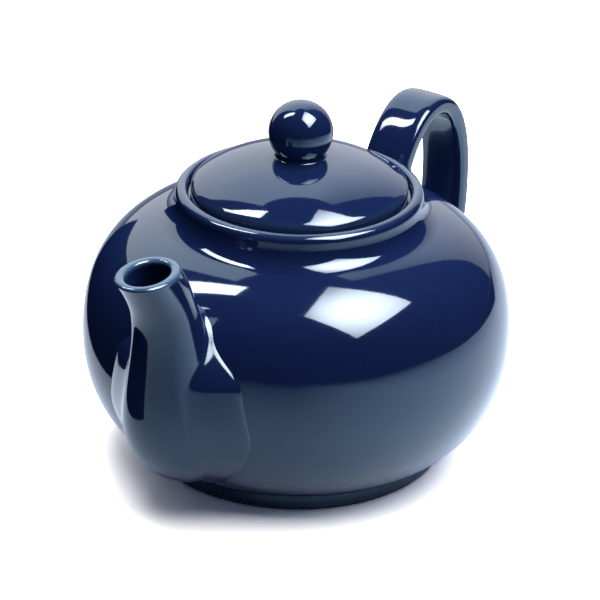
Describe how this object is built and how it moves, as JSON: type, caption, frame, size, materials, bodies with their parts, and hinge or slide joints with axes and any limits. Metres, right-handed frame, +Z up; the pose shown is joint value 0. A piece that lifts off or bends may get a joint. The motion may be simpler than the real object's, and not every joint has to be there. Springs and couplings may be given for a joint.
{
  "type": "teapot",
  "caption": "Globe-shaped glazed stoneware teapot with rolled rim, S-curved spout, strap handle and lift-off domed lid with ball knob.",
  "frame": {"origin": "centre of the foot ring at table level, on the axis of the globe body", "axes": "+Z up along the body's axis, the spout points to -X and the handle to +X"},
  "size_m": [0.1985, 0.15, 0.1298],
  "materials": {
    "body_glaze": "gloss",
    "foot_glaze": "gloss, with a bare standing edge",
    "spout_glaze": "gloss",
    "handle_glaze": "gloss",
    "lid_glaze": "gloss",
    "knob_glaze": "gloss"
  },
  "bodies": {
    "pot": {"body": "body_glaze", "foot_ring": "foot_glaze", "spout": "spout_glaze", "handle": "handle_glaze"},
    "lid": {"lid": "lid_glaze", "lid_knob": "knob_glaze"}
  },
  "joints": [
    {"name": "lid_lift", "type": "slide", "parent": "pot", "child": "lid", "axis": [0, 0, 1], "range_m": [0, 0.1]}
  ]
}
